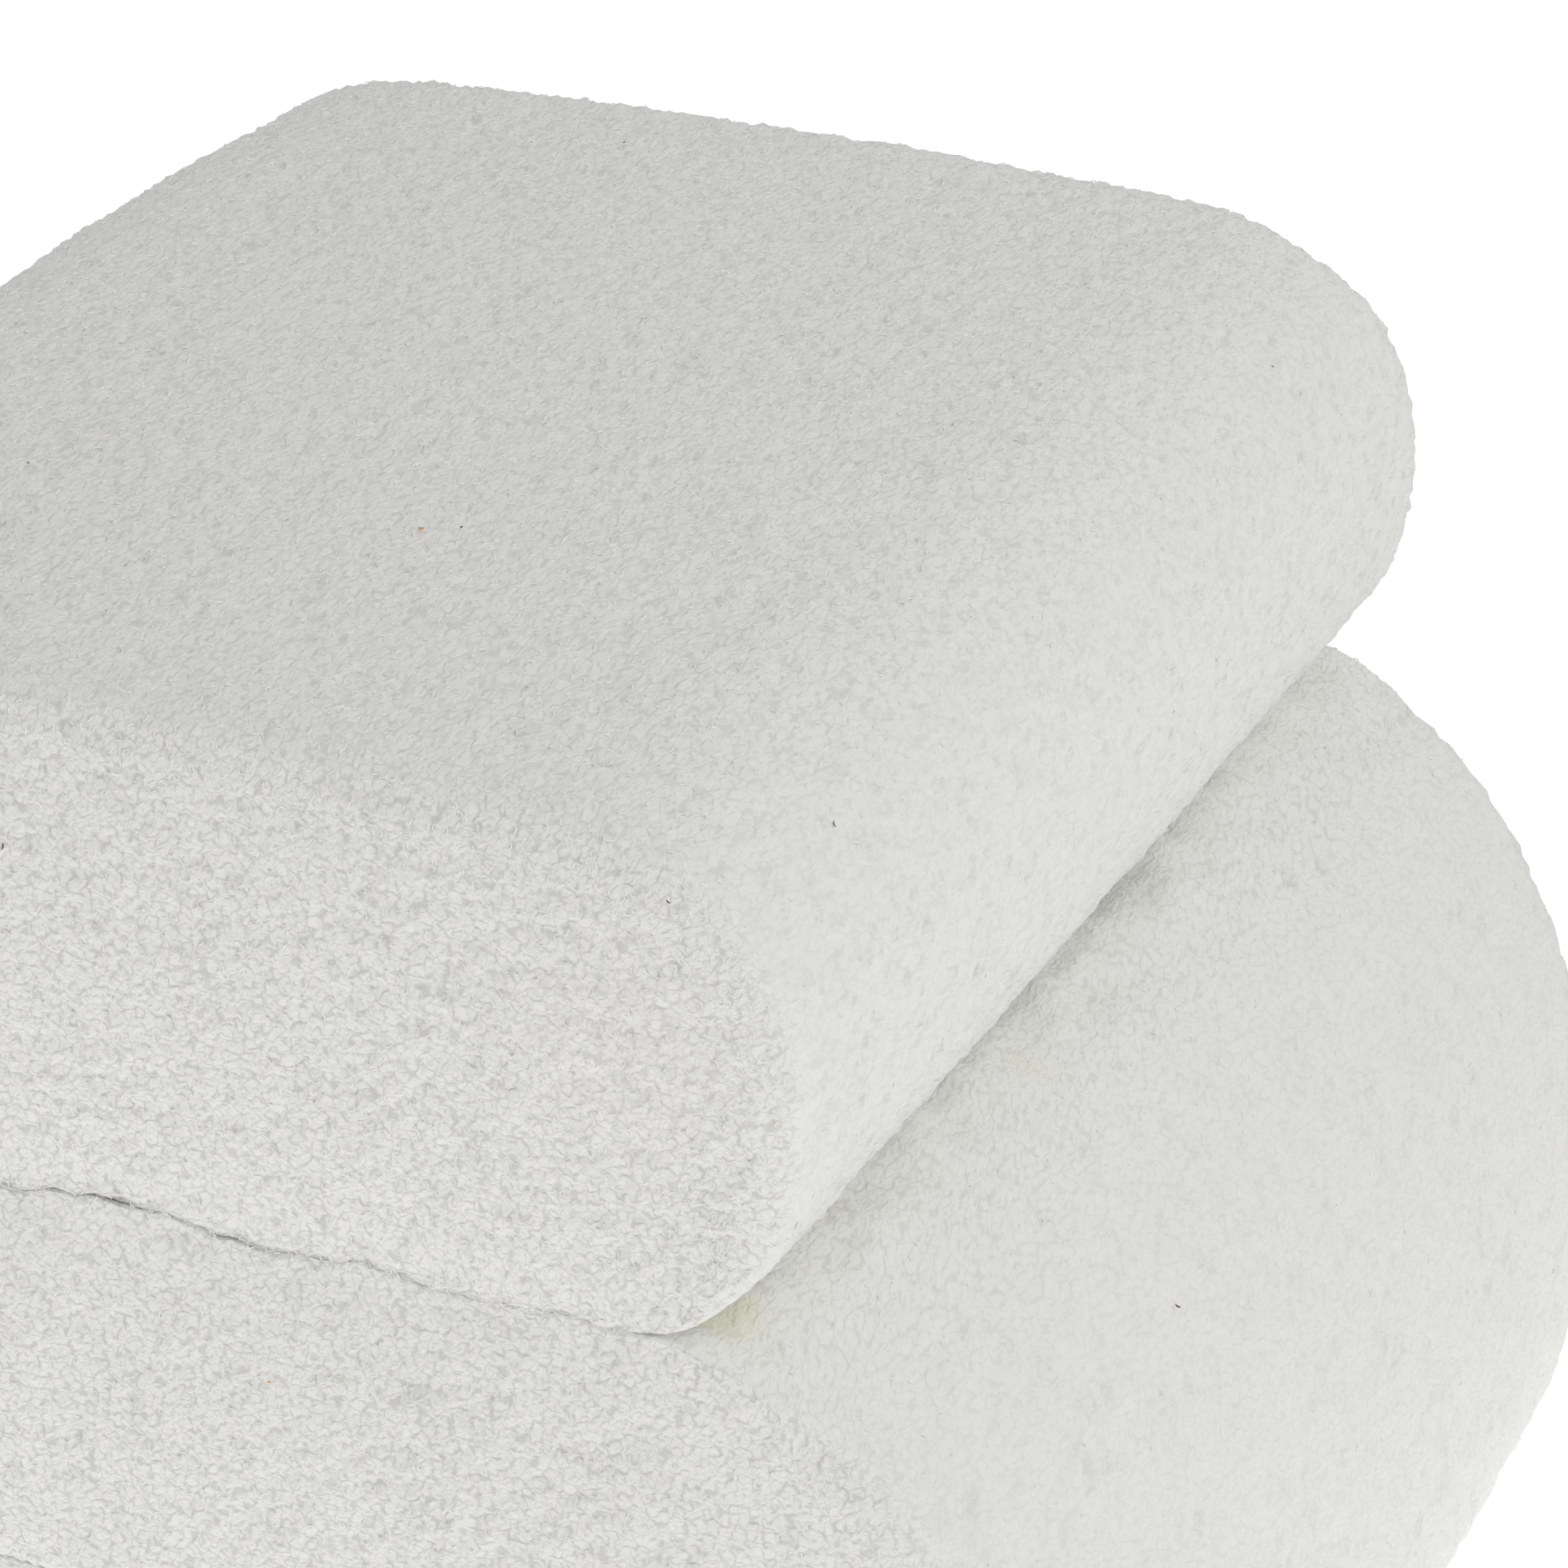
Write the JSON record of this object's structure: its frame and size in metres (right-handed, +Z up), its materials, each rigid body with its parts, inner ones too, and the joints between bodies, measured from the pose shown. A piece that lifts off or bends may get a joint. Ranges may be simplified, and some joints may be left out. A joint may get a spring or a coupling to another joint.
{
  "type": "upholstered ottoman",
  "caption": "Bouclé upholstered ottoman: a rounded seat slab on a wider arched body that bulges out at both sides and wraps over a core block.",
  "frame": {"origin": "centre of the footprint, on the floor", "axes": "+Z up, +X to the right along the width, +Y towards the back"},
  "size_m": [0.572, 0.478, 0.4423],
  "materials": {
    "boucle": "looped boucle pile, matte"
  },
  "bodies": {
    "root": {"seat_slab": "boucle", "arched_body": "boucle", "core_block": "boucle"}
  },
  "joints": []
}
